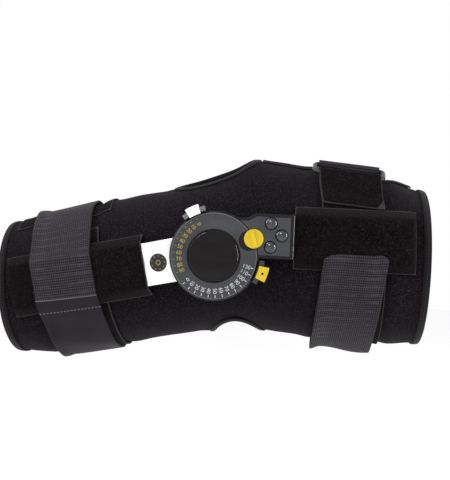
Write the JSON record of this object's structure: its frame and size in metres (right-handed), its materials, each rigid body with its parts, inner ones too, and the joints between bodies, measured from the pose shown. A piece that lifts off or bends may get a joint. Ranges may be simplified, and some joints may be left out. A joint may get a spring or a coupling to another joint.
{
  "type": "hinged knee brace",
  "caption": "Wrap-around knee brace with an open kneecap, a range-of-motion dial hinge on each side, pocketed bars, and hook straps through rings on thigh and calf.",
  "frame": {"origin": "on the knee's axis, midway between the two hinges", "axes": "+X up the thigh towards the hip, +Z to the front (kneecap), -Y to the lateral side; the shin is bent back by 12.5 degrees at rest"},
  "size_m": [0.3605, 0.1798, 0.1821],
  "materials": {
    "neoprene": "padded knit-faced foam",
    "binding": "folded knit tape",
    "loop_pile": "brushed loop pile",
    "webbing": "woven webbing",
    "ring_black": "moulded",
    "moulded_grey": "satin moulded",
    "moulded_dark": "satin moulded",
    "gloss_black": "polished",
    "aluminium": "bead-blasted",
    "steel": "brushed",
    "chrome": "polished",
    "nylon": "natural",
    "yellow": "moulded",
    "white": "moulded"
  },
  "bodies": {
    "thigh": {"wrap_thigh_section": "neoprene", "wrap_knee_section": "neoprene", "thigh_closure_flap": "neoprene", "thigh_end_binding": "binding", "patella_binding": "binding", "thigh_loop_band": "loop_pile", "thigh_strap": "webbing", "thigh_ring": "ring_black", "lateral_thigh_cover": "loop_pile", "lateral_back_cover": "moulded_grey", "lateral_front_cover": "moulded_grey", "lateral_centre_cap": "gloss_black", "lateral_pivot_rivet": "steel", "lateral_pivot_washer": "nylon", "lateral_pivot_spacer": "nylon", "lateral_thigh_bar": "aluminium", "lateral_arm_rivets": "chrome", "medial_thigh_cover": "loop_pile", "medial_back_cover": "moulded_grey", "medial_front_cover": "moulded_grey", "medial_centre_cap": "gloss_black", "medial_pivot_rivet": "steel", "medial_pivot_washer": "nylon", "medial_pivot_spacer": "nylon", "medial_thigh_bar": "aluminium", "medial_arm_rivets": "chrome"},
    "shin": {"wrap_calf_section": "neoprene", "calf_closure_flap": "neoprene", "calf_end_binding": "binding", "calf_loop_band": "loop_pile", "calf_strap": "webbing", "calf_ring": "ring_black", "lateral_calf_cover": "loop_pile", "lateral_shin_bar": "aluminium", "lateral_badge_disc": "gloss_black", "medial_calf_cover": "loop_pile", "medial_shin_bar": "aluminium", "medial_badge_disc": "gloss_black"},
    "lateral_lock": {"lateral_lock_button": "yellow", "lateral_lock_pawl": "steel"},
    "lateral_extension_stop": {"lateral_extension_stop": "moulded_dark", "lateral_extension_tab": "white"},
    "lateral_flexion_stop": {"lateral_flexion_stop": "moulded_dark", "lateral_flexion_tab": "yellow"},
    "medial_lock": {"medial_lock_button": "yellow", "medial_lock_pawl": "steel"},
    "medial_extension_stop": {"medial_extension_stop": "moulded_dark", "medial_extension_tab": "white"},
    "medial_flexion_stop": {"medial_flexion_stop": "moulded_dark", "medial_flexion_tab": "yellow"}
  },
  "joints": [
    {"name": "knee_flexion", "type": "hinge", "parent": "thigh", "child": "shin", "pos_m": [0, 0, 0], "axis": [0, -1, 0], "range_deg": [-12.5, 107.5], "deforming": ["wrap_knee_section", "patella_binding", "thigh_loop_band", "thigh_strap", "calf_loop_band", "calf_strap"]},
    {"name": "lateral_lock_slide", "type": "slide", "parent": "thigh", "child": "lateral_lock", "axis": [-0.9002, 0, -0.4354], "range_m": [0, 0.0042]},
    {"name": "lateral_extension_setting", "type": "hinge", "parent": "thigh", "child": "lateral_extension_stop", "pos_m": [0, -0.088, 0], "axis": [0, -1, 0], "range_deg": [0, 90]},
    {"name": "lateral_flexion_setting", "type": "hinge", "parent": "thigh", "child": "lateral_flexion_stop", "pos_m": [0, -0.088, 0], "axis": [0, -1, 0], "range_deg": [-118, 0]},
    {"name": "medial_lock_slide", "type": "slide", "parent": "thigh", "child": "medial_lock", "axis": [-0.9002, 0, -0.4354], "range_m": [0, 0.0042]},
    {"name": "medial_extension_setting", "type": "hinge", "parent": "thigh", "child": "medial_extension_stop", "pos_m": [0, 0.088, 0], "axis": [0, -1, 0], "range_deg": [0, 90]},
    {"name": "medial_flexion_setting", "type": "hinge", "parent": "thigh", "child": "medial_flexion_stop", "pos_m": [0, 0.088, 0], "axis": [0, -1, 0], "range_deg": [-118, 0]}
  ]
}
